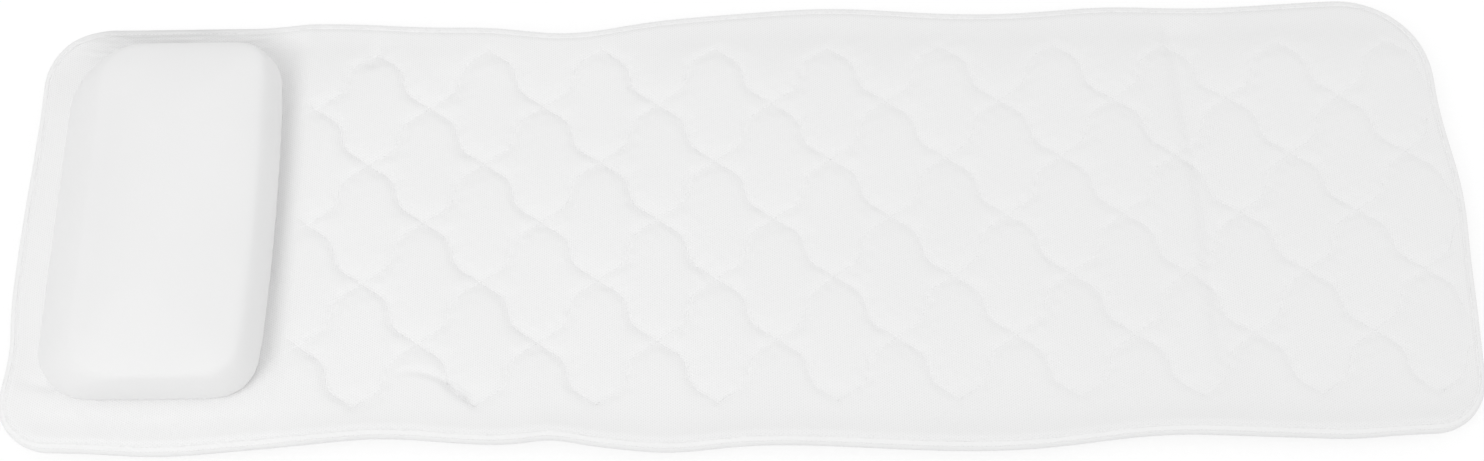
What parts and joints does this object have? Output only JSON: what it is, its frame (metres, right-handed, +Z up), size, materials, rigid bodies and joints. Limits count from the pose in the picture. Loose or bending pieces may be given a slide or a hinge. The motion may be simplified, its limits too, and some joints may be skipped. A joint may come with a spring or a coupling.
{
  "type": "bath pillow",
  "caption": "Full-length quilted spacer-mesh bath mat with a soft head pillow sewn to one end and suction cups beneath; the back and the foot fold up along cross lines.",
  "frame": {"origin": "under the middle of the mat, on the plane of the suction-cup rims", "axes": "+X along the mat towards the foot end, +Y across it, +Z up out of the quilted face"},
  "size_m": [1.25, 0.4159, 0.0876],
  "materials": {
    "quilted_mesh": "thick white polyester spacer mesh, quilted",
    "filling": "open polyester wadding",
    "base_mesh": "white knitted polyester mesh",
    "binding_tape": "white woven polyester tape, folded and sewn",
    "pillow_cloth": "smooth off-white brushed polyester",
    "pillow_foam": "soft open-cell foam",
    "cup_pvc": "clear soft moulded plastic"
  },
  "bodies": {
    "seat_section": {"quilted_top_seat": "quilted_mesh", "filling_seat": "filling", "base_panel_seat": "base_mesh", "edge_binding_seat_near": "binding_tape", "edge_binding_seat_far": "binding_tape", "suction_cup_seat_1": "cup_pvc", "suction_cup_seat_2": "cup_pvc", "suction_cup_seat_3": "cup_pvc", "suction_cup_seat_4": "cup_pvc", "suction_cup_seat_5": "cup_pvc", "suction_cup_seat_6": "cup_pvc", "cup_patch_seat_1": "base_mesh", "cup_patch_seat_2": "base_mesh", "cup_patch_seat_3": "base_mesh", "cup_patch_seat_4": "base_mesh", "cup_patch_seat_5": "base_mesh", "cup_patch_seat_6": "base_mesh"},
    "back_section": {"quilted_top_back": "quilted_mesh", "filling_back": "filling", "base_panel_back": "base_mesh", "edge_binding_head": "binding_tape", "pillow_cover": "pillow_cloth", "pillow_foam": "pillow_foam", "pillow_base": "pillow_cloth", "suction_cup_back_1": "cup_pvc", "suction_cup_back_2": "cup_pvc", "suction_cup_back_3": "cup_pvc", "suction_cup_back_4": "cup_pvc", "suction_cup_back_5": "cup_pvc", "cup_patch_back_1": "base_mesh", "cup_patch_back_2": "base_mesh", "cup_patch_back_3": "base_mesh", "cup_patch_back_4": "base_mesh", "cup_patch_back_5": "base_mesh"},
    "foot_section": {"quilted_top_foot": "quilted_mesh", "filling_foot": "filling", "base_panel_foot": "base_mesh", "edge_binding_foot": "binding_tape", "suction_cup_foot_1": "cup_pvc", "suction_cup_foot_2": "cup_pvc", "suction_cup_foot_3": "cup_pvc", "cup_patch_foot_1": "base_mesh", "cup_patch_foot_2": "base_mesh", "cup_patch_foot_3": "base_mesh"}
  },
  "joints": [
    {"name": "back_fold", "type": "hinge", "parent": "seat_section", "child": "back_section", "pos_m": [-0.165, 0, 0.031], "axis": [0, 1, 0], "range_deg": [0, 80]},
    {"name": "foot_fold", "type": "hinge", "parent": "seat_section", "child": "foot_section", "pos_m": [0.392, 0, 0.031], "axis": [0, -1, 0], "range_deg": [0, 170]}
  ]
}
